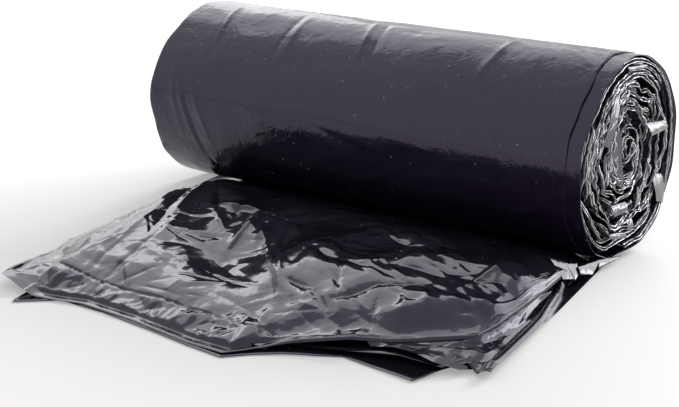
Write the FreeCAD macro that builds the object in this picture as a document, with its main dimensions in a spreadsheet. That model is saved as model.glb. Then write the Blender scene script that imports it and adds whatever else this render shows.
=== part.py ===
import FreeCAD, Part
import math
import os
from FreeCAD import Vector

# A roll of bin bags lying on its side, with the first bag pulled out in front.
# The roll and the free tail are one web of folded film, so they are one solid.
# Frame: +X along the roll, +Z up, and the free tail runs out towards -Y.
# The origin is on the floor, in the middle of the flat spot under the roll.

# Driving dimensions in millimetres, ratios and counts without a unit.
SIZES = (
    ("roll_length", 230.0, "width of the folded web, and so of the roll"),
    ("roll_radius", 44.0, "outside of the last turn, where the tail leaves it"),
    ("settle", 1.2, "how far the soft roll sinks onto its flat spot"),
    ("turn_pitch", 2.9, "from one bundle of turns to the next"),
    ("web_thickness", 1.9, "all film layers of one bundle of turns"),
    ("wrap_thickness", 0.9, "the last wrap, which runs on into the tail"),
    ("wrap_inset", 8.0, "the last wrap stops this far short of the right end"),
    ("core_radius", 5.0, "innermost turn"),
    ("turn_depth", 14.0, "how deep the turns stand apart at each end"),
    ("crinkle", 0.55, "crinkle of the inner turns across their thickness"),
    ("collapse", 0.34, "share by which the middle turns are squeezed narrow"),
    ("tail_reach", 186.0, "from the roll's axis to the furthest free edge"),
    ("seam_reach", 162.0, "from the roll's axis to the welded seam"),
    ("tail_skew", 0.19, "sideways drift of the tail for each unit forwards"),
    ("side_margin", 5.0, "the tail's sides lie this far inside the roll's ends"),
    ("leaf_thickness", 0.9, "one folded leaf of the pulled out bag"),
    ("leaf_gap", 0.6, "air between two leaves"),
    ("puff", 4.5, "height of the air held under the top leaf"),
    ("fold_height", 3.5, "height of the folds in the top leaf"),
    ("seam_width", 2.4, "welded seam across the top leaf"),
    ("seam_press", 0.4, "how far the weld is pressed into the leaf"),
    ("ripple", 2.0, "height of the ripples in the loose skirt past the seam"),
)

FACETS_PER_TURN = 28
FACETS_OF_WRAP = 72
FACETS_OF_BEND = 6
FACETS_ACROSS = 18
FACETS_ALONG = 7
EMBED = 0.25

# The squashed outline of the roll: waves around it, height as a share of its radius, phase.
OUTLINE_WAVES = ((2, 0.006, 2.42), (3, 0.011, -2.53), (5, 0.009, 2.0))

# Crinkles of the turns: waves around a turn, share of the crinkle's height, phase.
CRINKLE_WAVES = ((7, 0.6, 0.6), (11, 0.4, 2.0), (2.61, 0.2, -1.57))
CRINKLE_FROM_TURN = 0.5
CRINKLE_FULL_TURN = 2.0

# Free edges of the leaves: share of the width, and distance in front of the seam.
BOTTOM_EDGE = ((0.03, -20), (0.1, 17), (0.125, 27), (0.2, 17), (0.367, 19), (0.584, 24),
               (0.622, 14), (0.667, 7), (0.758, -4), (0.897, -1), (0.924, -14), (0.955, -21),
               (1.0, -18))
MIDDLE_EDGE = ((0.03, -25), (0.5, 10), (0.62, 5), (0.767, -11), (0.909, -12), (0.975, -22))
TOP_EDGE = ((0.03, -10), (0.055, 20), (0.147, 22), (0.244, 18), (0.582, 18), (0.688, 0),
            (0.76, -8), (0.855, -23), (0.936, -36), (0.967, -75), (0.975, -105))

# Folds in the top leaf: share of the width where they leave the roll and where they reach
# the seam, half their width as a share of the leaf's, and share of fold_height.
FOLDS = ((0.02, 0.16, 0.03, 0.7), (0.06, 0.40, 0.045, 1.0), (0.28, 0.30, 0.035, -0.5),
         (0.36, 0.66, 0.035, 0.8), (0.52, 0.72, 0.04, 0.9), (0.62, 0.78, 0.03, -0.5),
         (0.90, 0.60, 0.04, 0.8), (0.92, 0.84, 0.03, 0.9))

# Ripples of the loose skirt: radians across the leaf, and radians from the seam to its edge.
RIPPLES = ((19.0, 4.8), (31.0, 0.0))

# The top leaf swells between these distances in front of the axis, counted in heels, and
# the higher the steepness, the nearer to its sides it stays full.
SWELL_FROM, SWELL_FULL = 1.5, 4.0
SIDE_STEEPNESS = 5


def make_sheet(doc):
    """The spreadsheet with one aliased row for each driving dimension."""
    sheet = doc.addObject("Spreadsheet::Sheet", "Sizes")
    for row, (alias, value, note) in enumerate(SIZES, start=1):
        sheet.set(f"A{row}", alias)
        sheet.set(f"B{row}", str(value))
        sheet.set(f"C{row}", note)
        sheet.setAlias(f"B{row}", alias)
    doc.recompute()
    return sheet


def smooth(low, high, value):
    """0 below low, 1 above high, and an even change between them."""
    share = min(1.0, max(0.0, (value - low) / (high - low)))
    return share * share * (3 - 2 * share)


def wave_sum(waves, angle):
    """Sum of cosine waves, each given as a count, a height and a phase."""
    return sum(height * math.cos(count * angle + phase) for count, height, phase in waves)


class Web:
    """The section of the wound web. It winds from turn 0, under the roll, where the tail
    leaves it, up the back, over the top and on to the core."""

    def __init__(self, sheet):
        self.radius = sheet.roll_radius
        self.thickness = sheet.web_thickness
        self.wrap = sheet.wrap_thickness
        self.pitch = sheet.turn_pitch
        self.axis_height = sheet.roll_radius - sheet.settle
        self.crinkle = sheet.crinkle
        self.collapse = sheet.collapse
        self.turns = (self.radius - sheet.core_radius) / self.pitch

    def point(self, turn, depth):
        """Point of the section at a turn, at a depth below the outside of the web."""
        angle = 2 * math.pi * turn
        outside = self.radius - self.pitch * turn
        loose = smooth(CRINKLE_FROM_TURN, CRINKLE_FULL_TURN, turn)
        radius = outside * (1 + wave_sum(OUTLINE_WAVES, angle))
        radius += self.crinkle * loose * wave_sum(CRINKLE_WAVES, angle) - depth
        squeeze = self.collapse * (1 - outside / self.radius) ** 1.5
        y = radius * math.sin(angle) * (1 - squeeze)
        z = -radius * math.cos(angle) * (1 + squeeze / 3)
        flat_spot = depth - outside * self.axis_height / self.radius
        return Vector(0, y, max(z, flat_spot) + self.axis_height + EMBED)

    def points(self, last, depth, facets=FACETS_PER_TURN):
        """Points along the web from turn 0 to a last one, with so many facets a turn."""
        steps = math.ceil(last * facets)
        return [self.point(last * i / steps, depth) for i in range(steps + 1)]

    def turns_outline(self):
        """The wound turns below the last wrap, creased into flat facets."""
        outer = self.points(self.turns, self.wrap)
        inner = self.points(self.turns, self.wrap + self.thickness)
        return Part.makePolygon(outer + inner[::-1] + outer[:1])

    def wrap_outline(self):
        """The last wrap, sunk halfway into the turn that it lies on."""
        outer = self.points(1, 0, FACETS_OF_WRAP)
        inner = self.points(1, self.wrap + self.thickness / 2, FACETS_OF_WRAP)
        return Part.makePolygon(outer + inner[::-1] + outer[:1])

    def packed_outline(self):
        """The tightly wound middle of the roll, out to the first bundle of turns."""
        ring = self.points(1, self.wrap + self.thickness / 2)
        return Part.makePolygon(ring + ring[:1])


class Tail:
    """The pulled out bag. A share runs across it from its left side to its right, and a
    reach runs forwards from below the roll's axis."""

    def __init__(self, sheet):
        self.left = sheet.side_margin - sheet.roll_length / 2
        self.width = sheet.roll_length - 2 * sheet.side_margin
        self.skew = sheet.tail_skew
        self.seam = sheet.seam_reach
        self.seam_width = sheet.seam_width
        self.seam_press = sheet.seam_press
        self.skirt = sheet.tail_reach - sheet.seam_reach
        self.leaf = sheet.leaf_thickness
        self.step = sheet.leaf_thickness + sheet.leaf_gap
        self.puff = sheet.puff
        self.fold_height = sheet.fold_height
        self.ripple = sheet.ripple
        self.slab = sheet.web_thickness
        self.heel = math.sqrt(sheet.settle * (2 * sheet.roll_radius - sheet.settle))

    def point(self, share, reach, z=0.0):
        return Vector(self.left + share * self.width + self.skew * reach, -reach, z)

    def edge_reach(self, offset):
        """Reach of a free edge that lies an offset in front of the seam."""
        furthest = max(place for _, place in BOTTOM_EDGE)
        scale = self.skirt / furthest if offset > 0 else 1.0
        return self.seam + offset * scale

    def strip(self, near, far):
        """Closed wire of a straight strip across the whole tail."""
        corners = [self.point(0, near), self.point(0, far), self.point(1, far),
                   self.point(1, near)]
        return Part.makePolygon(corners + corners[:1])

    def outline(self, edge, start, z=0.0):
        """Closed wire of a leaf from its start near the roll to its free edge."""
        corners = [self.point(edge[0][0], start, z)]
        corners += [self.point(share, self.edge_reach(offset), z) for share, offset in edge]
        corners += [self.point(edge[-1][0], start, z)]
        return Part.makePolygon(corners + corners[:1])

    def bend_outline(self, share, inwards, z):
        """Section of the round bend that joins the sides of two leaves. It bulges away
        from inwards, which is 1 for a left side and -1 for a right one."""
        half = (self.step + self.leaf) / 2
        centre = self.point(share, self.heel, z + half)
        outer = self.arc(centre, half, inwards)
        inner = self.arc(centre, half - self.leaf, inwards)
        return Part.makePolygon(outer + inner[::-1] + outer[:1])

    def arc(self, centre, radius, inwards):
        """Points of a half circle across the tail that bulges away from inwards."""
        angles = [math.pi * i / FACETS_OF_BEND for i in range(FACETS_OF_BEND + 1)]
        return [centre - Vector(inwards * radius * math.sin(a), 0, radius * math.cos(a))
                for a in angles]

    def free_reach(self, edge, share):
        """Reach of a leaf's free edge at a share of the width."""
        for (share_0, offset_0), (share_1, offset_1) in zip(edge, edge[1:]):
            if share <= share_1:
                part = (share - share_0) / (share_1 - share_0)
                reach_0, reach_1 = self.edge_reach(offset_0), self.edge_reach(offset_1)
                return reach_0 + part * (reach_1 - reach_0)
        return self.edge_reach(edge[-1][1])

    def top_height(self, share, reach):
        """Height of the top leaf's upper side."""
        flat = 2 * self.step + self.leaf
        drop = flat - self.slab + EMBED
        height = flat - drop * (1 - smooth(self.heel, self.heel * 2, reach))
        if reach > self.seam:
            past = (reach - self.seam) / self.skirt
            waves = sum(1 + math.sin(across * share + along * past)
                        for across, along in RIPPLES)
            return height + self.ripple * smooth(0, 1, past) * waves / (2 * len(RIPPLES))
        if reach == self.seam:
            return height - self.seam_press
        return height + self.swell(share, reach)

    def swell(self, share, reach):
        """How far the air and the folds lift the top leaf. It dies out at the roll, at
        the seam and along the leaf's sides."""
        right = TOP_EDGE[-1][0]
        end = min(self.seam - self.seam_width, self.free_reach(TOP_EDGE, share))
        room = smooth(SWELL_FROM * self.heel, SWELL_FULL * self.heel, reach)
        room *= 1 - smooth(end - self.skirt, end, reach)
        room *= 1 - abs(2 * min(share / right, 1) - 1) ** SIDE_STEEPNESS
        along = reach / self.seam
        lift = self.puff
        for near, far, width, height in FOLDS:
            offset = share - near - (far - near) * along
            lift += self.fold_height * height * math.exp(-(offset / width) ** 2)
        return room * max(0.0, lift)

    def top_section(self, reach):
        """Closed section across the top leaf at a reach."""
        right = TOP_EDGE[-1][0]
        shares = [right * i / FACETS_ACROSS for i in range(FACETS_ACROSS + 1)]
        upper = [self.point(s, reach, self.top_height(s, reach)) for s in shares]
        lower = [point - Vector(0, 0, self.leaf) for point in upper]
        return Part.makePolygon(upper + lower[::-1] + upper[:1])

    def top_reaches(self):
        """Where the sections across the top leaf stand."""
        heel, half = self.heel, self.seam_width / 2
        end = self.seam - self.seam_width
        body = [2 * heel + (end - 2 * heel) * i / FACETS_ALONG for i in range(FACETS_ALONG + 1)]
        seam = [self.seam - half, self.seam, self.seam + half]
        skirt = [self.seam + self.skirt / 2, self.seam + self.skirt * 1.1]
        return [heel / 2, heel, heel * 1.5] + body + seam + skirt


def add_outline(doc, name, wire):
    """A feature that holds an outline worked out from the sheet."""
    feature = doc.addObject("Part::Feature", name + "Outline")
    feature.Shape = wire
    return feature


def add_prism(doc, name, wire, length, direction):
    """A solid extrusion of a closed wire, its length bound to the sheet."""
    prism = doc.addObject("Part::Extrusion", name)
    prism.Base = add_outline(doc, name, wire)
    prism.DirMode = "Custom"
    prism.Dir = direction
    prism.Solid = True
    prism.setExpression("LengthFwd", length)
    return prism


def add_roll_pieces(doc, web):
    """The turns at full length, the packed middle and the shorter last wrap."""
    along = Vector(1, 0, 0)
    turns = add_prism(doc, "Turns", web.turns_outline(), "Sizes.roll_length", along)
    turns.setExpression("Placement.Base.x", "-Sizes.roll_length / 2")
    packed = add_prism(doc, "PackedMiddle", web.packed_outline(),
                       "Sizes.roll_length - 2 * Sizes.turn_depth", along)
    packed.setExpression("Placement.Base.x", "Sizes.turn_depth - Sizes.roll_length / 2")
    wrap = add_prism(doc, "LastWrap", web.wrap_outline(),
                     "Sizes.roll_length - Sizes.wrap_inset", along)
    wrap.setExpression("Placement.Base.x", "-Sizes.roll_length / 2")
    return [turns, packed, wrap]


def add_tail_pieces(doc, tail):
    """The heel under the roll, and three leaves that two bends join in a zigzag."""
    up = Vector(0, 0, 1)
    heel = add_prism(doc, "Heel", tail.strip(-tail.heel, tail.heel), "Sizes.web_thickness", up)
    start = tail.heel / 2
    bottom = add_prism(doc, "BottomLeaf", tail.outline(BOTTOM_EDGE, start),
                       "Sizes.leaf_thickness", up)
    middle = add_prism(doc, "MiddleLeaf", tail.outline(MIDDLE_EDGE, start, tail.step),
                       "Sizes.leaf_thickness", up)
    return [heel, bottom, middle, add_top_leaf(doc, tail)] + add_bends(doc, tail)


def add_bends(doc, tail):
    """The round bends on the left, below the middle leaf, and on the right, above it."""
    forwards = Vector(tail.skew, -1, 0)
    slant = forwards.Length
    bends = []
    for name, edge, end, inwards, level in (("LeftBend", MIDDLE_EDGE, 0, 1, 0),
                                            ("RightBend", TOP_EDGE, -1, -1, 1)):
        share, offset = edge[end]
        start = tail.heel * (1 + level)
        wire = tail.bend_outline(share, inwards, level * tail.step)
        wire.translate(tail.point(0, start) - tail.point(0, tail.heel))
        length = f"(Sizes.seam_reach + ({offset} - {start})) * {slant}"
        bends.append(add_prism(doc, name, wire, length, forwards))
    return bends


def add_top_leaf(doc, tail):
    """The top leaf, a loft over sections across it, cut to its free edge."""
    loft = doc.addObject("Part::Loft", "TopLeafSheet")
    loft.Sections = [add_outline(doc, f"TopLeaf{i}", tail.top_section(reach))
                     for i, reach in enumerate(tail.top_reaches())]
    loft.Solid = True
    loft.Ruled = True
    trim = add_prism(doc, "TopLeafTrim", tail.outline(TOP_EDGE, 0), "Sizes.roll_radius",
                     Vector(0, 0, 1))
    leaf = doc.addObject("Part::Common", "TopLeaf")
    leaf.Base = loft
    leaf.Tool = trim
    return leaf


def build():
    doc = FreeCAD.newDocument("BinBagRoll")
    sheet = make_sheet(doc)
    roll = doc.addObject("Part::MultiFuse", "BagRoll")
    roll.Shapes = add_roll_pieces(doc, Web(sheet)) + add_tail_pieces(doc, Tail(sheet))
    roll.Label = "bin_bag_roll"
    doc.recompute()
    return doc, roll


def check(doc, piece):
    """Stops if any object failed, or the piece isn't one closed solid."""
    for item in doc.Objects:
        if "Invalid" in item.State or "Error" in item.State:
            raise RuntimeError(f"{item.Name} failed: {item.State}")
    shape = piece.Shape
    if shape.isNull() or not shape.isValid():
        raise RuntimeError(f"{piece.Label} has no valid shape")
    if len(shape.Solids) != 1:
        raise RuntimeError(f"{piece.Label} has {len(shape.Solids)} solids, not one")


def main():
    doc, roll = build()
    check(doc, roll)
    os.makedirs("parts", exist_ok=True)
    roll.Shape.exportStep(f"parts/{roll.Label}.step")


main()
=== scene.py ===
import math

import bpy
import numpy as np
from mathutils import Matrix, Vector


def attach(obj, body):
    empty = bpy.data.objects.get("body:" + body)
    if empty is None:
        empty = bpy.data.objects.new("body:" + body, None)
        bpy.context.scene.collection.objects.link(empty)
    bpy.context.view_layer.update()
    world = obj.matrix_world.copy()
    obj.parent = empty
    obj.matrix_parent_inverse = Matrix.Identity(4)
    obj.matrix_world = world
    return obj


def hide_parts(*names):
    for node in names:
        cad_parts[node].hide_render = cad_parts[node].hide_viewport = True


# A roll of black bin bags on a white floor, with the first bag pulled out in front.
# +X runs along the roll, +Z is up, and the pulled out bag runs towards -Y.
# Shapes are worked out in millimetres and written to the meshes in metres.
# Angles around the roll start at its bottom and go up its back, so its front is at 270.
# Places on the pulled out bag are (u, v): u across it from its left side, and v its reach,
# which is the distance in front of the roll's axis.

MM = 0.001

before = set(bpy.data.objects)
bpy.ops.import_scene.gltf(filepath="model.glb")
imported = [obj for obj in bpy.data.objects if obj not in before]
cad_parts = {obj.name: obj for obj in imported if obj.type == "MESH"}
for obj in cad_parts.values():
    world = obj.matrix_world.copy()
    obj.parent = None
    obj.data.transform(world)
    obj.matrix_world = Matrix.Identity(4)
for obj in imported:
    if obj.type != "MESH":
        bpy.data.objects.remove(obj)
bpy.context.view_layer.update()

# The roll.
HALF = 115.0
RADIUS = 42.8
AXIS_Z = 42.6
# Its flat underside: the height in the middle, and how much it rises for each unit sideways.
REST_Z, REST_RISE = 3.2, 0.02
# The last wrap: where it stops, how thick it is, and how far its left end is set back.
WRAP_END, WRAP_STEP, WRAP_INSET = 107.5, 0.75, 1.2
# Its turned edge, as (share of its thickness down, distance along the roll), and its left
# end, as (depth, distance along the roll).
TURNED_EDGE = ((0.4, 0.10), (1.4, -0.45))
LEFT_EDGE = ((2.0, 1.0), (0.5, 0.1))
# The bare turn below it, at each end: where it starts, and how far it stops short of HALF.
BARE_START, BARE_SHORT = 96, 0.3
# Points around the roll.
AROUND = 300
# Waves around the outline: how many, height as a share of the radius, phase.
OUTLINE_WAVES = ((2, 0.007, 2.42), (3, 0.0125, -2.53), (5, 0.011, 2.0))
# The slight S bend along its front: where, how broad, how high.
BEND_AT, BEND_BREADTH, BEND_HEIGHT = math.radians(268), math.radians(14), 1.1

# The pulled out bag.
LEFT = -110.0
WIDTH = 220.0
SKEW = 0.19
SEAM = 161.0
LEAF_START = -6.0


def smooth(low, high, value):
    """0 at low and before it, 1 at high and past it. High may be the smaller of the two."""
    share = np.clip((value - low) / (high - low), 0.0, 1.0)
    return share * share * (3 - 2 * share)


def read_line(points, place):
    """Value at a place of a line given by (place, value) points."""
    return np.interp(place, [p[0] for p in points], [p[1] for p in points])


def blend(first, second, share):
    """From the first value at share 0 to the second at share 1."""
    return first + share * (second - first)


def noise(rng, shape, cells, wrap=False):
    """A grid of smooth random values from -1 to 1, with so many cells along each side.

    With wrap, its last column repeats the first.
    """
    rows, columns = cells
    knots = rng.uniform(-1, 1, (rows + 1, columns + 1))
    if wrap:
        knots[:, -1] = knots[:, 0]
    v = np.linspace(0, rows, shape[0])
    u = np.linspace(0, columns, shape[1])
    i = np.minimum(v.astype(int), rows - 1)
    j = np.minimum(u.astype(int), columns - 1)
    fv = smooth(0, 1, v - i)[:, None]
    fu = smooth(0, 1, u - j)[None, :]
    low = blend(knots[i][:, j], knots[i][:, j + 1], fu)
    high = blend(knots[i + 1][:, j], knots[i + 1][:, j + 1], fu)
    return blend(low, high, fv)


def crease(u, v, start, end, height, width):
    """A fold with a sharp crest along a line, which fades out at both of its ends."""
    rounding = 0.1
    run = np.subtract(end, start)
    length = float(np.hypot(*run))
    along = ((u - start[0]) * run[0] + (v - start[1]) * run[1]) / length ** 2
    inside = np.clip(along, 0, 1)
    distance = np.hypot(u - start[0] - inside * run[0], v - start[1] - inside * run[1])
    taper = np.sqrt(np.clip(np.sin(np.pi * np.clip(along, 0.02, 0.98)), 0, 1))
    return height * taper * np.exp(-np.sqrt(distance ** 2 + rounding) / width)


def random_creases(rng, u, v, count, box, length, height, width, angle=None):
    """Small folds at random places in a box (u0, u1, v0, v1), up or down.

    Length, height and width are ranges. An angle is its mean and spread in radians, and
    without one the folds run in all directions.
    """
    total = np.zeros_like(u)
    for _ in range(count):
        cu, cv = rng.uniform(box[0], box[1]), rng.uniform(box[2], box[3])
        turn = rng.uniform(0, math.pi) if angle is None else rng.normal(*angle)
        half = rng.uniform(*length) / 2
        du, dv = half * math.cos(turn), half * math.sin(turn)
        size = rng.uniform(*height) * rng.choice((-1, 1))
        total += crease(u, v, (cu - du, cv - dv), (cu + du, cv + dv), size,
                        rng.uniform(*width))
    return total


def add_mesh(name, points, faces):
    """A smooth-shaded object from points in millimetres and the faces between them."""
    mesh = bpy.data.meshes.new(name)
    mesh.from_pydata((np.asarray(points) * MM).tolist(), [], [list(map(int, f)) for f in faces])
    mesh.validate()
    mesh.polygons.foreach_set("use_smooth", [True] * len(mesh.polygons))
    obj = bpy.data.objects.new(name, mesh)
    bpy.context.scene.collection.objects.link(obj)
    return obj


def grid_faces(rows, columns, wrap=False, first=0):
    """Quads between the points of a grid. With wrap, the last column meets the first."""
    i = np.arange(rows - 1)[:, None] * columns
    j = np.arange(columns if wrap else columns - 1)[None, :]
    k = (j + 1) % columns
    quads = np.stack([i + j, i + k, i + columns + k, i + columns + j], axis=-1)
    return quads.reshape(-1, 4) + first


def finish_piece(obj, material):
    """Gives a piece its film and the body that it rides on."""
    obj.data.materials.append(material)
    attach(obj, "root")
    return obj


# Materials

DUST_WHITE = (0.55, 0.55, 0.57, 1)
# Painted highlight: the pale colour given to the tips of thin folded edges.
RIM_HIGHLIGHT_WHITE = (0.93, 0.93, 0.97, 1)
FLOOR_WHITE = (0.90, 0.875, 0.865, 1)
WHITE = (1, 1, 1, 1)
# How bright the floor and the world are: the floor's own glow as the camera sees it, and
# the world's strength as a source of light.
FLOOR_GLOW = 0.32
WORLD_LIGHT = 0.42


def new_material(name):
    """A plain material, its node tree and its shader."""
    material = bpy.data.materials.new(name)
    material.use_nodes = True
    tree = material.node_tree
    return material, tree, tree.nodes["Principled BSDF"]


def set_inputs(tree, node, inputs):
    """Sets a node's inputs, each to a value or to the output of another node."""
    for key, value in inputs.items():
        if isinstance(value, bpy.types.NodeSocket):
            tree.links.new(value, node.inputs[key])
        else:
            node.inputs[key].default_value = value


def add_node(tree, kind, output, inputs):
    """Adds a node with these inputs, and gives the named one of its outputs."""
    node = tree.nodes.new(kind)
    set_inputs(tree, node, inputs)
    return node.outputs[output]


def add_maths(tree, operation, first, second):
    """The output of a node that works on two values."""
    node = tree.nodes.new("ShaderNodeMath")
    node.operation = operation
    set_inputs(tree, node, {0: first, 1: second})
    return node.outputs["Value"]


def mix_colours(tree, factor, first, second):
    """The output of a node that goes from the first colour to the second."""
    node = tree.nodes.new("ShaderNodeMix")
    node.data_type = "RGBA"
    set_inputs(tree, node, {"Factor": factor, "A": first, "B": second})
    return node.outputs["Result"]


def film_material(name, index, tint, dark, wrinkle, grain, roughness, dust=0.0):
    """Thin black polythene: glossy and finely wrinkled, with a few specks of white dust.

    Tint is the colour of its gloss, wrinkle and grain are the strengths of its relief,
    roughness is a range, and dust is how white the specks are, or 0 for none.
    """
    material, tree, shader = new_material(name)
    place = add_node(tree, "ShaderNodeTexCoord", "Object", {})
    wrinkles = add_node(tree, "ShaderNodeTexNoise", "Fac", {
        "Vector": place, "Scale": 150.0, "Detail": 3.0, "Distortion": 1.2})
    grains = add_node(tree, "ShaderNodeTexNoise", "Fac", {"Vector": place, "Scale": 900.0})
    haze = add_node(tree, "ShaderNodeTexNoise", "Fac", {
        "Vector": place, "Scale": 45.0, "Detail": 4.0})
    rough = add_node(tree, "ShaderNodeMapRange", "Result", {
        "Value": haze, "From Min": 0.3, "From Max": 0.7,
        "To Min": roughness[0], "To Max": roughness[1]})
    soft = add_node(tree, "ShaderNodeBump", "Normal", {
        "Height": wrinkles, "Strength": wrinkle, "Distance": 0.0012})
    hard = add_node(tree, "ShaderNodeBump", "Normal", {
        "Height": grains, "Normal": soft, "Strength": grain, "Distance": 0.0002})
    colour = (*dark, 1)
    if dust > 0:
        specks = add_node(tree, "ShaderNodeTexVoronoi", "Distance", {
            "Vector": place, "Scale": 190.0})
        dusty = add_node(tree, "ShaderNodeMapRange", "Result", {
            "Value": specks, "From Min": 0.062, "From Max": 0.036,
            "To Min": 0.0, "To Max": dust})
        colour = mix_colours(tree, dusty, colour, DUST_WHITE)
    set_inputs(tree, shader, {
        "Base Color": colour, "IOR": index, "Specular Tint": (*tint, 1),
        "Roughness": rough, "Normal": hard})
    return material


def paint_rim_highlights(material):
    """Paints highlights: pale, metallic film where an attribute marks the tip of a thin folded
    edge.
    """
    tree = material.node_tree
    shader = tree.nodes["Principled BSDF"]
    body = tuple(shader.inputs["Base Color"].default_value)
    attribute = tree.nodes.new("ShaderNodeAttribute")
    attribute.attribute_name = "rim_highlight"
    rim_highlight = attribute.outputs["Fac"]
    set_inputs(tree, shader, {
        "Base Color": mix_colours(tree, rim_highlight, body, RIM_HIGHLIGHT_WHITE), "Metallic": rim_highlight})


def white_material(name):
    """White with soft shadows on it, a little brighter to the camera and in reflections."""
    material, tree, shader = new_material(name)
    path = tree.nodes.new("ShaderNodeLightPath").outputs
    seen = add_maths(tree, "MAXIMUM", path["Is Camera Ray"], path["Is Glossy Ray"])
    seen = add_maths(tree, "MAXIMUM", seen, path["Is Transmission Ray"])
    set_inputs(tree, shader, {
        "Base Color": FLOOR_WHITE, "Roughness": 0.8, "Specular IOR Level": 0.0,
        "Emission Color": WHITE,
        "Emission Strength": add_maths(tree, "MULTIPLY", seen, FLOOR_GLOW)})
    return material


# The roll

# Creases of the last wrap, as (start, end, height, width), with places as (x, degrees).
SKIN_CREASES = (
    ((-92, 180), (-85, 226), 0.7, 1.6), ((-50, 184), (-49, 230), -0.6, 1.5),
    ((-46, 186), (-44, 226), 0.6, 2.0), ((-12, 172), (-4, 224), 0.8, 1.6),
    ((-7, 172), (2, 216), -0.5, 1.4), ((63, 176), (57, 224), 0.7, 1.8),
    ((84, 186), (108, 205), 0.3, 1.5), ((88, 182), (110, 198), -0.3, 1.5),
    ((70, 190), (84, 214), 0.25, 2.0), ((-98, 250), (-88, 300), 0.6, 2.2),
    ((-94, 256), (-83, 312), -0.5, 2.0), ((-89, 252), (-78, 300), 0.45, 2.0),
    ((-103, 240), (-97, 292), 0.4, 2.0), ((-60, 262), (-30, 274), 0.5, 4.0),
    ((-30, 262), (10, 275), -0.4, 4.0), ((20, 264), (60, 272), 0.4, 5.0),
    ((100, 255), (104, 300), 0.35, 1.6))


def around_the_roll():
    """Angles of the points around the roll."""
    return np.linspace(0, 2 * math.pi, AROUND, endpoint=False)[None, :]


def roll_radius(angle, x):
    """Radius of the roll's skin. Its waves drift a little from one end to the other."""
    radius = np.full(np.broadcast(angle, x).shape, RADIUS)
    for count, height, phase in OUTLINE_WAVES:
        drift = 0.5 * (1 - x / HALF) * count / 5
        radius = radius + RADIUS * height * np.cos(count * angle + phase + drift)
    bend = (angle - BEND_AT) / BEND_BREADTH
    return radius - BEND_HEIGHT * bend * np.exp(-bend ** 2)


def roll_points(x, angle, radius):
    """Points on the roll, flattened where it rests on the web below it."""
    y = radius * np.sin(angle)
    z = AXIS_Z - radius * np.cos(angle)
    return np.stack([x, y, np.maximum(z, REST_Z + REST_RISE * np.abs(y))], axis=-1)


def wrap_step(angle):
    """How far the last wrap stands proud of the turn below it. It sinks in low at the front."""
    low = smooth(math.radians(238), math.radians(262), angle)
    low = low * (1 - smooth(math.radians(320), math.radians(350), angle))
    return WRAP_STEP * (1 - 0.9 * low)


def skin_relief(x, angle):
    """Creases and soft dents of the last wrap."""
    rng = np.random.default_rng(11)
    u, v = x, RADIUS * angle
    relief = 0.22 * noise(rng, x.shape, (9, 26)) + 0.10 * noise(rng, x.shape, (20, 60))
    for start, end, height, width in SKIN_CREASES:
        ends = [(place[0], RADIUS * math.radians(place[1])) for place in (start, end)]
        relief += crease(u, v, *ends, height, width)
    all_round = (-114, 110, 0, RADIUS * 6.28)
    relief += random_creases(rng, u, v, 70, all_round, (12, 45), (0.05, 0.22), (1.0, 3.0),
                             (1.2, 0.5))
    top = (-110, 112, RADIUS * math.radians(170), RADIUS * math.radians(202))
    relief += random_creases(rng, u, v, 90, top, (10, 34), (0.04, 0.14), (0.6, 1.3),
                             (0.04, 0.1))
    return relief


def make_skin(material):
    """The last wrap. It stops short of the right end with a thin turned edge."""
    angle = around_the_roll()
    end_wander = 0.5 * np.sin(3 * angle + 1) + 0.4 * np.sin(7 * angle) + 0.2 * np.sin(17 * angle)
    left_wander = 0.9 * np.sin(2 * angle + 2) + 0.5 * np.sin(9 * angle)
    start = -HALF + WRAP_INSET + left_wander
    share = np.linspace(0, 1, 330)[:, None]
    x = start + share * (WRAP_END + end_wander - start)
    angles = np.broadcast_to(angle, x.shape)
    radius = roll_radius(angles, x) + skin_relief(x, angles)
    step = wrap_step(angles[-1:])
    rows = [roll_points(x[:1] + along, angles[:1], radius[:1] - depth)
            for depth, along in LEFT_EDGE]
    rows.append(roll_points(x, angles, radius))
    rows += [roll_points(x[-1:] + along, angles[-1:], radius[-1:] - steps * step)
             for steps, along in TURNED_EDGE]
    rows = np.concatenate(rows)
    skin = add_mesh("roll_skin", rows.reshape(-1, 3), grid_faces(len(rows), AROUND, True))
    return finish_piece(skin, material)


def make_under_wraps(material):
    """The turn below the last wrap, bare at both ends of the roll."""
    angle = around_the_roll()
    share = np.linspace(0, 1, 40)[:, None]
    rng = np.random.default_rng(5)
    for side, name in ((1, "right_under_wrap"), (-1, "left_under_wrap")):
        wander = 0.35 * np.sin(4 * angle + side) + 0.25 * np.sin(11 * angle)
        x = side * (BARE_START + share * (HALF - BARE_START - BARE_SHORT + wander * share))
        angles = np.broadcast_to(angle, x.shape)
        radius = roll_radius(angles, x) - wrap_step(angles)
        radius = radius + 0.25 * noise(rng, x.shape, (3, 40), True) * share
        edge = roll_points(x[-1:] - side * 1.5, angles[-1:], radius[-1:] - 0.7)
        rows = np.concatenate([roll_points(x, angles, radius), edge])
        faces = grid_faces(len(rows), AROUND, True)
        piece = add_mesh(name, rows.reshape(-1, 3), faces if side > 0 else faces[:, ::-1])
        finish_piece(piece, material)


# The ends

# Section of a folded edge of the web: place along the roll from its tip, place across it as a
# share of its width, and how much painted highlight it gets: a pale, metallic colour that
# stands for the highlights on the tip of a thin folded edge.
PROFILE = (
    (-9.0, 0.50, 0.0), (-0.9, 0.50, 0.0), (-0.1, 0.47, 0.12), (0.0, 0.39, 1.0),
    (-0.2, 0.29, 0.06), (-3.0, 0.22, 0.0), (-3.0, -0.22, 0.0), (-0.2, -0.29, 0.06),
    (0.0, -0.39, 1.0), (-0.1, -0.47, 0.12), (-0.9, -0.50, 0.0), (-9.0, -0.50, 0.0))
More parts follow.
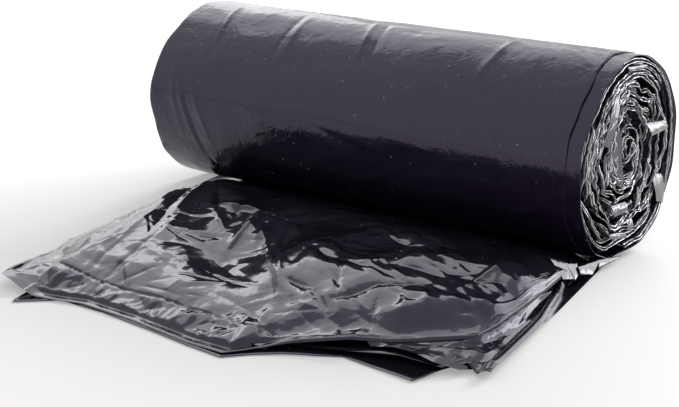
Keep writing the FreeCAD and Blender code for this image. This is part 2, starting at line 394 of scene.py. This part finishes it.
# Turns of the web, and the outer ones of them, which take the first share of the way in.
TURNS, OUTER_TURNS, OUTER_SHARE = 18, 4, 0.28
# The innermost turn: its middle and its half size, along Y and along Z.
CORE = (-2.0, 47.3)
CORE_HALF = (1.5, 4.0)
# Distance between two points along the web.
STATION = 0.45
# Slope by which the lower side of each edge sticks out further, so that it faces up.
LEAN_UP = 0.45
# Random shifts of the loose turns: size of a patch that moves together, and how far.
SHIFTS = ((9.0, 2.0), (4.2, 0.9), (2.1, 0.35))
# The middle behind the turns, built as a disc: how far in from the end, and the radii of its
# rings.
BACK_DEPTH, BACK_RADII = 11.5, (41.0, 28.0, 14.0, 2.0)

# Loose folds of film that lie over the right end: four corners each, as (y, z, out).
END_FLAPS = (
    ((10.4, 55.4, 0.6), (30.0, 53.4, -0.2), (30.9, 49.4, 1.2), (14.1, 49.6, 2.2)),
    ((22.9, 30.3, -1.4), (36.9, 28.1, -2.0), (33.7, 15.6, 0.2), (25.5, 18.7, 0.8)),
    ((-13.0, 56.5, -2.6), (-9.8, 57.0, -0.8), (-7.8, 43.0, -0.2), (-11.4, 42.4, -1.6)),
    ((-11.4, 42.4, -1.6), (-7.8, 43.0, -0.2), (-3.4, 30.5, -1.2), (-5.6, 30.0, -2.2)),
    ((-15.5, 70.5, -1.2), (-11.5, 69.0, -0.4), (-19.6, 51.0, 0.2), (-24.0, 52.5, -0.8)),
    ((9.0, 28.4, -0.8), (14.5, 27.0, -1.8), (9.0, 20.5, 0.2), (4.0, 19.5, 0.6)),
    ((-13.0, 25.0, -1.4), (-1.0, 24.2, -1.0), (-0.5, 20.2, 0.2), (-12.0, 20.5, 0.0)),
    ((-17.0, 14.6, -0.8), (-1.0, 11.6, -0.8), (-0.5, 8.6, 0.2), (-15.5, 12.0, 0.2)),
    ((0.0, 16.2, -0.6), (6.0, 15.6, -1.2), (5.6, 11.6, 0.2), (0.0, 11.8, 0.4)),
    ((-7.0, 81.6, -1.2), (9.5, 80.2, -1.4), (10.5, 78.6, 0.0), (-5.5, 79.6, -0.2)))
# The plane that their last value counts from.
FLAP_PLANE = HALF - 0.2


def field(rng, cell):
    """Smooth random values over the end of the roll, from -1 to 1, as a function of place."""
    count = 80
    knots = rng.uniform(-1, 1, (count, count))

    def at(y, z):
        a = np.clip(y / cell + count / 2, 0, count - 1.1)
        b = np.clip((z - AXIS_Z) / cell + count / 2, 0, count - 1.1)
        i, j = a.astype(int), b.astype(int)
        fa, fb = smooth(0, 1, a - i), smooth(0, 1, b - j)
        low = blend(knots[i, j], knots[i + 1, j], fa)
        high = blend(knots[i, j + 1], knots[i + 1, j + 1], fa)
        return blend(low, high, fb)
    return at


def turn_place(turn, outward):
    """Place of the web at a turn, counted from the outside in, moved outward by so much."""
    inward = np.interp(turn, (0, OUTER_TURNS, TURNS), (0, OUTER_SHARE, 1))
    angle = 2 * math.pi * turn
    outer = RADIUS - WRAP_STEP - 1.0
    waves = 1 + sum(h * np.cos(c * angle + p) for c, h, p in OUTLINE_WAVES) * (1 - inward)
    half_y = (blend(outer, CORE_HALF[0], inward) + outward) * waves
    half_z = (blend(outer, CORE_HALF[1], inward) + outward) * waves
    y = CORE[0] * inward + half_y * np.sin(angle)
    z = blend(AXIS_Z, CORE[1], inward) - half_z * np.cos(angle)
    resting = REST_Z + 1.0 + (outer - half_z) * 0.95
    return y, np.maximum(z, resting)


def even_turns():
    """Turns at even distances along the web, from the outside in."""
    fine = np.linspace(0, TURNS, TURNS * 400)
    steps = np.hypot(*(np.diff(line) for line in turn_place(fine, 0)))
    length = np.concatenate([[0], np.cumsum(steps)])
    count = int(length[-1] / STATION)
    return np.interp(np.linspace(0, length[-1], count), length, fine)


def end_turns(side, seed):
    """Points of the folded edges of the web at one end, wound from outside to core."""
    rng = np.random.default_rng(seed)
    turn = even_turns()
    loose = smooth(0.6, 6.0, turn)

    def jitter(step, height):
        """Random values along the web, straight between knots so that it creases."""
        knots = np.arange(0, len(turn) + step, step)
        values = rng.uniform(-1, 1, len(knots)) * height
        return np.interp(np.arange(len(turn)), knots, values)

    # The web wanders in and out, its tip stands back and leans over, and the flat of its tip
    # has a width and a tilt.
    wander = (jitter(37, 0.5) + jitter(13, 0.28)) * (0.25 + loose)
    edge = HALF - 0.9 - (0.15 + loose) * np.abs(jitter(29, 1.3) + jitter(9, 0.8))
    edge = edge - 4.2 * smooth(0.0, 0.3, jitter(46, 1.0)) * smooth(0.3, 1.6, turn)
    lean = jitter(23, 0.9) * loose + jitter(7, 0.35) * (0.2 + loose)
    width = 1.15 + 0.40 * jitter(19, 1.0) + 0.4 * (1 - loose)
    tilt = jitter(17, 0.9) + jitter(6, 0.7)
    along_y = [(field(rng, cell), size) for cell, size in SHIFTS]
    along_z = [(field(rng, cell), size) for cell, size in SHIFTS]
    rows = []
    for back, across, _ in PROFILE:
        tip = smooth(-5.0, 0.0, back)
        outward = wander + across * width + lean * tip + jitter(4, 0.10) * tip
        y, z = turn_place(turn, outward)
        moved_y = y + loose * sum(size * at(y, z) for at, size in along_y)
        moved_z = z + loose * sum(size * at(y, z) for at, size in along_z)
        bend = (across * tilt * width + jitter(4, 0.42)) * (0.35 + 0.8 * loose)
        bend = bend + LEAN_UP * across * width * np.cos(2 * math.pi * turn)
        rows.append(np.stack([side * (edge + back + bend * tip), moved_y, moved_z], axis=-1))
    return np.stack(rows, axis=1)


def make_end(side, name, seed, material):
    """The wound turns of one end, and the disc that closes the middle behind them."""
    rows = end_turns(side, seed)
    faces = grid_faces(rows.shape[0], rows.shape[1])
    turns = add_mesh(name, rows.reshape(-1, 3), faces[:, ::-1] if side > 0 else faces)
    # The tips of the folded edges are marked for a painted highlight, which the end film reads.
    rim_highlight = turns.data.attributes.new("rim_highlight", "FLOAT", "POINT")
    rim_highlight.data.foreach_set("value", np.tile([painted_highlight for _, _, painted_highlight in PROFILE], len(rows)))
    finish_piece(turns, material)

    around = 96
    angle = np.linspace(0, 2 * math.pi, around, endpoint=False)
    x = np.full(around, side * (HALF - BACK_DEPTH))
    rings = [roll_points(x, angle, np.full(around, radius)) for radius in BACK_RADII]
    faces = grid_faces(len(rings), around, True)
    finish_piece(add_mesh(name + "_back", np.concatenate(rings), faces), material)


# The pulled out bag

# Free edges of the leaves, as (share of the width, distance past the seam).
BOTTOM_EDGE = ((0.03, -20), (0.118, 15), (0.125, 30), (0.2, 17), (0.3, 16.6), (0.424, 18.8),
               (0.508, 21), (0.584, 22), (0.622, 14), (0.667, 7), (0.758, -4), (0.897, -1),
               (0.924, -14), (0.955, -21), (0.99, -16), (1.0, -19))
INNER_EDGE = ((0.6, 5), (0.757, -6), (0.849, -12), (0.927, -12), (0.95, -24))
LIP_EDGE = ((0.03, -25), (0.5, 10), (0.62, 8), (0.7, -2), (0.767, -11), (0.829, -13),
            (0.877, -13), (0.909, -12), (0.949, -15), (0.962, -19), (0.975, -22))
TOP_EDGE = ((0.03, -10), (0.055, 20), (0.147, 22), (0.244, 16), (0.366, 16.5), (0.424, 18),
            (0.508, 20), (0.582, 19.5), (0.62, 10), (0.688, 0), (0.76, -8), (0.816, -16),
            (0.855, -23), (0.936, -36), (0.954, -51), (0.967, -75), (0.975, -105))

# Folds of the top leaf, as (start, end, height, width), with places as (u, v).
TOP_FOLDS = (
    ((17, 45), (27, 92), 1.5, 1.6), ((29, 84), (38, 137), 1.0, 1.3),
    ((19, 60), (24, 157), 0.9, 1.3), ((21, 46), (36, 96), -1.3, 1.4),
    ((36, 94), (47, 126), -0.8, 1.0), ((27, 51), (42, 98), 1.6, 1.8),
    ((43, 92), (51, 118), 0.9, 1.2), ((12, 84), (20, 130), -0.8, 1.2),
    ((33, 48), (66, 96), -1.2, 2.4), ((4, 60), (9, 140), 1.2, 1.8),
    ((48, 113), (54, 182), -0.9, 0.8), ((38, 131), (41, 155), -0.7, 0.8),
    ((52, 134), (52, 152), -0.7, 1.2), ((53, 82), (79, 76), 2.6, 2.6),
    ((78, 77), (83, 113), 2.0, 1.8), ((53, 82), (74, 102), 1.6, 2.0),
    ((66, 70), (70, 94), -1.6, 1.8), ((86, 76), (92, 104), 1.6, 1.8),
    ((87, 92), (120, 130), 1.4, 1.8), ((98, 84), (108, 112), -1.4, 1.6),
    ((103, 100), (130, 145), 1.5, 2.0), ((124, 129), (138, 131), -1.4, 2.2),
    ((138, 131), (153, 143), -1.6, 2.2), ((153, 143), (169, 150), -1.4, 2.0),
    ((132, 138), (141, 146), -0.8, 0.9), ((141, 146), (164, 155), -0.9, 1.0),
    ((123, 74), (153, 141), -1.0, 0.9), ((120, 119), (118, 99), -0.9, 3.0),
    ((118, 99), (136, 110), -1.1, 3.0), ((149, 134), (160, 117), -1.6, 2.4),
    ((160, 117), (178, 106), -1.6, 2.4), ((164, 124), (171, 145), -1.0, 1.0),
    ((169, 132), (181, 146), -0.9, 0.9), ((174, 128), (190, 144), 0.9, 2.0),
    ((140, 70), (148, 73), 1.0, 1.4), ((148, 73), (157, 79), -1.0, 1.4),
    ((161, 98), (182, 98), -0.9, 2.4), ((168, 84), (200, 82), 1.0, 3.4),
    ((196, 119), (203, 110), -1.2, 1.1), ((203, 110), (211, 84), -1.2, 1.1),
    ((188, 108), (200, 70), 1.2, 2.2), ((176, 110), (192, 133), 0.9, 1.6),
    ((186, 103), (205, 114), -0.9, 1.4), ((171, 116), (180, 134), 0.8, 1.4),
    ((108, 148), (150, 166), -1.0, 2.4))
# Its rounded pillows and hollows, as (u, v, half its width, half its reach, height).
PILLOWS = (
    (68, 84, 19, 15, 2.2), (92, 120, 22, 22, -2.6), (126, 112, 25, 24, 3.6),
    (158, 98, 20, 19, 2.0), (188, 124, 24, 20, 2.4), (176, 66, 24, 16, 1.2),
    (24, 128, 24, 40, 1.8), (56, 128, 16, 22, 1.2), (198, 80, 15, 12, 2.2),
    (168, 86, 15, 11, 1.8), (148, 62, 18, 11, 1.6))
# Height of its folded right part at the edge, by share of the width.
SHELF = ((0.60, 2.6), (0.69, 4.6), (0.76, 6.6), (0.816, 5.6), (0.855, 5.4), (0.936, 6.2),
         (0.954, 6.8), (0.967, 7.4), (0.975, 7.0))
# Height of the upper lip of the bag's mouth, by share of the width.
LIP_RISE = ((0.70, 1.2), (0.767, 2.4), (0.829, 4.8), (0.877, 5.0), (0.909, 4.2),
            (0.949, 2.4), (0.962, 1.6))
# Where the lip leaf comes out from under the top leaf's right side, as (v, u).
LIP_SIDE = ((56, 214.5), (86, 212.7), (110, 209.9), (125, 206), (138, 196))
# The rounded fold at the right of the lowest leaf, as (v, u) and as (v, its half width).
SIDE_FOLD = ((44, 210.5), (62, 214.8), (90, 218.0), (146, 218.4))
SIDE_FOLD_HALF = ((60, 2.0), (140, 2.6))

# Film pinched where the leaves leave the roll at the right: four corners of each lobe.
LOBES = (
    ((108.2, -53.2, 13.2), (111.3, -44.3, 9.4), (116.1, -45.2, 3.7), (114.6, -52.9, 5.4)),
    ((111.8, -45.9, 9.1), (112.8, -38.8, 7.8), (115.5, -42.3, 4.6), (116.4, -46.0, 3.6)),
    ((114.2, -40.8, 7.2), (115.2, -24.0, 5.8), (117.7, -34.5, 2.9), (116.3, -41.8, 4.6)),
    ((113.8, -22.7, 5.3), (115.9, -5.4, 2.7), (116.0, -14.5, 2.2), (115.9, -25.7, 2.2)))


def leaf_grid(edge, rows, columns):
    """Shares of the width and reaches over a leaf, from under the roll to its free edge."""
    share = np.linspace(edge[0][0], edge[-1][0], columns)[None, :]
    down = np.linspace(0, 1, rows)[:, None]
    reach = LEAF_START + down * (SEAM + read_line(edge, share) - LEAF_START)
    return np.broadcast_to(share, reach.shape), reach


def facets(rng, u, v, size, turn, height):
    """Crumpled film at one scale: flat facets that meet in straight creases."""
    count, middle = 90, 40
    knots = rng.uniform(-1, 1, (count, count))
    sway = 0.35 * np.sin(u / size * 0.9 + 2 * turn)
    a = (u * math.cos(turn) + v * math.sin(turn)) / size + middle + sway
    b = (v * math.cos(turn) - u * math.sin(turn)) / size + middle + 0.4 * np.sin(a * 1.7)
    i, j = np.clip(a.astype(int), 0, count - 2), np.clip(b.astype(int), 0, count - 2)
    fa, fb = a - i, b - j
    near, far = knots[i, j], knots[i + 1, j + 1]
    side_a, side_b = knots[i + 1, j], knots[i, j + 1]
    low = near + fa * (side_a - near) + fb * (side_b - near)
    high = far + (1 - fa) * (side_b - far) + (1 - fb) * (side_a - far)
    return height * np.where(fa + fb > 1, high, low)


def edge_distance(edge, share, reach):
    """How far a point is inside the free edge of its leaf."""
    return np.maximum(SEAM + read_line(edge, share) - reach, 0)


def edge_bead(to_edge):
    """The thin raised rim along a free edge of film."""
    return 0.45 * smooth(2.2, 1.0, to_edge) * smooth(0, 0.9, to_edge)


def mound(share, reach):
    """Height of the air and film between the lowest leaf and the leaves above it."""
    u = share * WIDTH
    front = SEAM + read_line(BOTTOM_EDGE, share) - reach
    sides = smooth(0, 13, WIDTH - 4 - u) * smooth(0, 26, u - 4)
    return 5.0 * smooth(2, 46, reach) * smooth(0, 40, front) * sides


def top_swell(u, reach, belly):
    """Height of the air held in the bag, and of its rounded pillows and hollows."""
    swell = 6.0 * smooth(6, 62, reach) * (1 - smooth(70, 162, reach) * (1 - 0.45 * belly))
    swell *= smooth(6, 28, u)
    for middle_u, middle_v, half_u, half_v, tall in PILLOWS:
        far = ((u - middle_u) / half_u) ** 2 + ((reach - middle_v) / half_v) ** 2
        swell += tall * np.exp(-1.2 * far ** 1.3) * smooth(20, 56, reach)
    return swell


def top_crumple(rng, u, v):
    """Folds, facets and fine creases of the top leaf."""
    crumple = np.zeros_like(u)
    for start, end, tall, width in TOP_FOLDS:
        crumple += crease(u, v, start, end, tall, width)
    for size, turn, tall in ((24, 0.5, 1.1), (13, 1.3, 0.65), (7, 2.3, 0.26)):
        crumple += facets(rng, u, v, size, turn, tall)
    crumple += random_creases(rng, u, v, 170, (4, 208, 34, SEAM), (6, 30), (0.15, 0.5),
                              (0.6, 1.2))
    crumple += random_creases(rng, u, v, 60, (140, 212, 44, 140), (10, 34), (0.2, 0.7),
                              (0.8, 2.0), (0.35, 0.35))
    return crumple


def seam_relief(rng, u, v, to_edge):
    """The groove of the bag's seam, with short pleats across it."""
    pleats = random_creases(rng, u, v, 90, (0, 150, SEAM - 6, SEAM + 8), (5, 14),
                            (0.1, 0.4), (0.6, 1.2), (1.5, 0.35))
    depth = 0.7 + 0.4 * noise(rng, u.shape, (1, 90))
    return pleats * smooth(0, 4, to_edge) - np.exp(-np.abs(v - SEAM) / 0.4) * depth


def skirt_relief(rng, u, v):
    """Crumples of the loose film between the seam and the hem."""
    relief = random_creases(rng, u, v, 60, (10, 140, SEAM + 4, SEAM + 18), (8, 22),
                            (0.3, 0.9), (0.8, 1.5), (1.65, 0.35))
    return relief + facets(rng, u, v, 9, 0.9, 0.5) + facets(rng, u, v, 18, 0.3, 0.9)


def fold_right_edge(rng, height, share, reach, to_edge, belly):
    """The top leaf's right part, where it turns over along its edge onto the lip leaf."""
    u, v = share * WIDTH, reach
    on_edge = belly * smooth(44, 64, reach)
    height = blend(height, read_line(SHELF, share), smooth(22, 2, to_edge) * on_edge)
    round_off = 1.6
    inside = 1 - np.minimum(to_edge, round_off) / round_off
    height -= (1 - np.sqrt(np.clip(1 - inside ** 2, 0, 1))) * on_edge
    on_rim = belly * smooth(0.5, 5, to_edge) * smooth(30, 16, to_edge) * smooth(60, 90, reach)
    return height + on_rim * (facets(rng, u, v, 14, 0.8, 0.9) + facets(rng, u, v, 7, 2.0, 0.4))


def top_height(share, reach):
    """Height of the top leaf: the stack below, held air, crumples, seam, hem and folded edge."""
    rng = np.random.default_rng(3)
    u, v = share * WIDTH, reach
    to_edge = edge_distance(TOP_EDGE, share, reach)
    belly = smooth(0.60, 0.70, share)
    height = 1.8 + mound(share, reach) + top_swell(u, reach, belly)
    height += smooth(20, 56, reach) * smooth(-2, 12, to_edge) * top_crumple(rng, u, v)
    height += (1 - belly) * seam_relief(rng, u, v, to_edge)
    height += smooth(0, 6, reach - SEAM) * smooth(4, 8, to_edge) * skirt_relief(rng, u, v)
    height += 3.6 * smooth(32, 12, u) * smooth(SEAM - 16, SEAM + 16, reach)
    hem_height = 1.4 - 0.12 * to_edge - 0.4 * smooth(0.9, 0.0, to_edge)
    on_hem = (1 - belly) * smooth(6.2, 4.4, to_edge) * smooth(24, 40, u)
    height = blend(height, hem_height, on_hem)
    return np.maximum(fold_right_edge(rng, height, share, reach, to_edge, belly), 0.9)


def fanned(rng, u, v):
    """Long thin folds that run from the bunch at the nip towards the front right corner."""
    total = np.zeros_like(u)
    for _ in range(22):
        start = (rng.uniform(207, 216), rng.uniform(30, 60))
        end = (rng.uniform(196, 214), rng.uniform(95, 150))
        total += crease(u, v, start, end, rng.uniform(-1, 1) * 1.3, rng.uniform(0.9, 2.6))
    return total


def bottom_height(share, reach):
    """Height of the lowest leaf, which lies on the floor, with a rounded fold at its right."""
    rng = np.random.default_rng(7)
    u, v = share * WIDTH, reach
    wave = np.maximum(noise(rng, u.shape, (5, 9)), 0) * smooth(SEAM - 60, SEAM, reach)
    folds = 0.2 * random_creases(rng, u, v, 50, (0, WIDTH, 30, SEAM + 20), (15, 60),
                                 (0.3, 1.0), (1.5, 4.0))
    from_fold = np.abs(u - read_line(SIDE_FOLD, v)) / read_line(SIDE_FOLD_HALF, v)
    tube = 3.0 * np.exp(-from_fold ** 2.4) * smooth(36, 52, v)
    tube *= 1 + 0.06 * np.sin(v / 9.0)
    corner = smooth(196, 212, u) * smooth(122, 140, reach)
    ruffle = corner * (1.6 + facets(rng, u, v, 8, 0.4, 2.0))
    bead = edge_bead(edge_distance(BOTTOM_EDGE, share, reach))
    height = 0.4 + 0.35 * wave + folds * smooth(216, 208, u) + tube + ruffle + bead
    return np.maximum(height, 0.35)


def inner_height(share, reach):
    """Height of the short leaf that shows inside the mouth of the bag."""
    to_edge = edge_distance(INNER_EDGE, share, reach)
    height = 1.4 + 1.6 * smooth(0.70, 0.85, share) * smooth(50, 6, to_edge)
    return height + edge_bead(to_edge)


def lip_height(share, reach):
    """Height of the leaf whose raised edge is the upper lip of the bag's mouth."""
    rng = np.random.default_rng(8)
    u, v = share * WIDTH, reach
    to_edge = edge_distance(LIP_EDGE, share, reach)
    under_top = read_line(SHELF, share) - 1.1
    past_top = reach - SEAM - read_line(TOP_EDGE, share)
    between = np.maximum(past_top + to_edge, 1.0)
    down_front = smooth(0, 1, np.maximum(past_top, 0) / between)
    down_side = 0.85 * smooth(0.3, 1.8, u - read_line(LIP_SIDE, reach))
    slope = blend(under_top, read_line(LIP_RISE, share), np.maximum(down_front, down_side))
    folded = smooth(0.62, 0.70, share) * smooth(50, 80, reach)
    height = blend(1.3 + 0.85 * mound(share, reach), slope, folded)
    height += 0.4 * fanned(rng, u, v) * smooth(0, 8, to_edge) * smooth(-1, 5, past_top)
    streaks = random_creases(rng, u, v, 40, (160, 214, 110, 152), (10, 30), (0.2, 0.6),
                             (0.8, 2.0), (0.3, 0.5))
    height += streaks * smooth(0, 6, to_edge) * smooth(-1, 4, past_top)
    return np.maximum(blend(1.0, height, smooth(0, 2.2, 214.5 - u)), 0.9)


def make_leaf(name, edge, height_of, rows, columns, material):
    """One leaf of thin film."""
    share, reach = leaf_grid(edge, rows, columns)
    x = LEFT + share * WIDTH + SKEW * reach
    points = np.stack([x, -reach, height_of(share, reach)], axis=-1)
    leaf = add_mesh(name, points.reshape(-1, 3), grid_faces(rows, columns)[:, ::-1])
    finish_piece(leaf, material)


def patch_points(rng, corners, rows, columns, bulge, crumple):
    """A curved and crumpled patch between four corners."""
    a, b, c, d = (np.array(corner, float) for corner in corners)
    v, u = np.meshgrid(np.linspace(0, 1, rows), np.linspace(0, 1, columns), indexing="ij")
    place = blend(blend(a, b, u[..., None]), blend(d, c, u[..., None]), v[..., None])
    normal = np.cross(c - a, b - d)
    normal = normal / np.linalg.norm(normal)
    rise = bulge * np.linalg.norm(b - d) * (np.sin(np.pi * v) ** 0.7 - 0.4)
    rise = rise + crumple * (noise(rng, u.shape, (2, 3)) + 0.5 * noise(rng, u.shape, (4, 7)))
    return place + rise[..., None] * normal


def make_patches(name, quads, material, bulge, crumple):
    """One piece of several loose patches of film."""
    rng = np.random.default_rng(13)
    rows, columns = 16, 24
    points = [patch_points(rng, corners, rows, columns, bulge, crumple) for corners in quads]
    faces = [grid_faces(rows, columns, first=k * rows * columns) for k in range(len(quads))]
    piece = add_mesh(name, np.concatenate(points).reshape(-1, 3),
                     np.concatenate(faces)[:, ::-1])
    finish_piece(piece, material)


# Camera, light and floor

# The camera was fitted to the roll's outline in the photograph, which is 679 pixels wide.
SENSOR = 36.0
PHOTO_WIDTH, FOCAL_PIXELS = 679.0, 1435.2
CAMERA_PLACE = (363.97, -521.46, 192.67)
CAMERA_YAW, CAMERA_PITCH = math.radians(37.41), math.radians(16.66)

# Lamps, as (name, place, size, radiance, whether it is mirrored), in metres. The mirrored
# ones show in the film and don't light the floor. The other one does, and makes the shadow.
LAMPS = (
    ("low_back_lamp", (0.0, 1.30, 0.66), (1.3, 0.34), 17.0, False),
    ("left_window", (-1.22, 0.95, 0.55), (0.7, 0.7), 1.2, True),
    ("top_box", (-0.90, 0.84, 1.06), (1.2, 1.15), 1.15, True),
    ("right_lamp", (0.62, 1.18, 0.60), (1.1, 0.9), 2.2, True),
    ("low_right_lamp", (0.95, 1.10, 0.16), (1.2, 0.40), 4.0, True))
LAMPS_AIM = (0, -0.05, 0.03)
FLOOR_HALF = 3000.0


def make_camera():
    """The photograph's view."""
    data = bpy.data.cameras.new("camera")
    data.sensor_width = SENSOR
    data.lens = SENSOR * FOCAL_PIXELS / PHOTO_WIDTH
    data.clip_start = 0.01
    camera = bpy.data.objects.new("camera", data)
    bpy.context.scene.collection.objects.link(camera)
    camera.location = Vector(CAMERA_PLACE) * MM
    camera.rotation_euler = (math.pi / 2 - CAMERA_PITCH, 0.0, CAMERA_YAW)
    bpy.context.scene.camera = camera


def add_softbox(name, place, size, radiance, mirrored):
    """A soft lamp that faces the roll. Its power follows from how bright it looks."""
    data = bpy.data.lights.new(name, "AREA")
    data.shape = "RECTANGLE"
    data.size, data.size_y = size
    data.energy = radiance * math.pi * size[0] * size[1]
    light = bpy.data.objects.new(name, data)
    light.location = place
    towards = Vector(LAMPS_AIM) - Vector(place)
    light.rotation_euler = towards.to_track_quat("-Z", "Y").to_euler()
    light.visible_camera = False
    light.visible_glossy = mirrored
    light.visible_diffuse = not mirrored
    bpy.context.scene.collection.objects.link(light)


def make_world():
    """White to the camera and in reflections, and dimmer as a source of light."""
    world = bpy.data.worlds.new("studio")
    world.use_nodes = True
    tree = world.node_tree
    path = tree.nodes.new("ShaderNodeLightPath").outputs
    strength = add_node(tree, "ShaderNodeMapRange", "Result", {
        "Value": path["Is Diffuse Ray"], "To Min": 1.0, "To Max": WORLD_LIGHT})
    set_inputs(tree, tree.nodes["Background"], {"Color": WHITE, "Strength": strength})
    bpy.context.scene.world = world


def make_stage():
    """The world, the floor and the lamps."""
    make_world()
    corners = [(x * FLOOR_HALF, y * FLOOR_HALF, 0)
               for x, y in ((-1, -1), (1, -1), (1, 1), (-1, 1))]
    floor = add_mesh("floor", corners, [(0, 1, 2, 3)])
    floor.data.materials.append(white_material("floor_white"))
    for lamp in LAMPS:
        add_softbox(*lamp)


def make_roll(flap_film):
    """The wound roll, from its last wrap to the loose folds on its right end."""
    film = film_material("roll_film", index=1.60, tint=(0.80, 0.73, 1.0),
                         dark=(0.010, 0.005, 0.015), wrinkle=0.22, grain=0.10,
                         roughness=(0.10, 0.20), dust=0.9)
    end_film = film_material("end_film", index=2.1, tint=(0.94, 0.93, 1.0),
                             dark=(0.010, 0.008, 0.013), wrinkle=0.12, grain=0.05,
                             roughness=(0.12, 0.26))
    # Painted highlights on the tips of the end's folded edges.
    paint_rim_highlights(end_film)
    skin = make_skin(film)
    make_under_wraps(film)
    make_end(1, "right_turns", 21, end_film)
    make_end(-1, "left_turns", 34, end_film)
    flaps = [[(FLAP_PLANE + out, y, z) for y, z, out in corners] for corners in END_FLAPS]
    make_patches("right_flaps", flaps, flap_film, 0.05, 0.15)
    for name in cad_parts:
        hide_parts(name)


def make_bag(flap_film):
    """The leaves of the pulled out bag, and the pinched film where they leave the roll."""
    leaf_film = film_material("leaf_film", index=1.54, tint=(0.76, 0.75, 0.95),
                              dark=(0.017, 0.014, 0.024), wrinkle=0.06, grain=0.04,
                              roughness=(0.035, 0.10), dust=0.7)
    make_leaf("bottom_leaf", BOTTOM_EDGE, bottom_height, 230, 300, leaf_film)
    make_leaf("inner_leaf", INNER_EDGE, inner_height, 160, 60, leaf_film)
    make_leaf("lip_leaf", LIP_EDGE, lip_height, 220, 260, leaf_film)
    make_leaf("top_leaf", TOP_EDGE, top_height, 300, 320, leaf_film)
    make_patches("nip_bunch", LOBES, flap_film, 0.03, 0.06)


def main():
    """Builds the scene."""
    bpy.context.scene.view_settings.view_transform = "Standard"
    make_camera()
    make_stage()
    flap_film = film_material("flap_film", index=2.05, tint=(0.94, 0.93, 1.0),
                              dark=(0.02, 0.018, 0.023), wrinkle=0.20, grain=0.05,
                              roughness=(0.10, 0.22))
    make_roll(flap_film)
    make_bag(flap_film)


main()
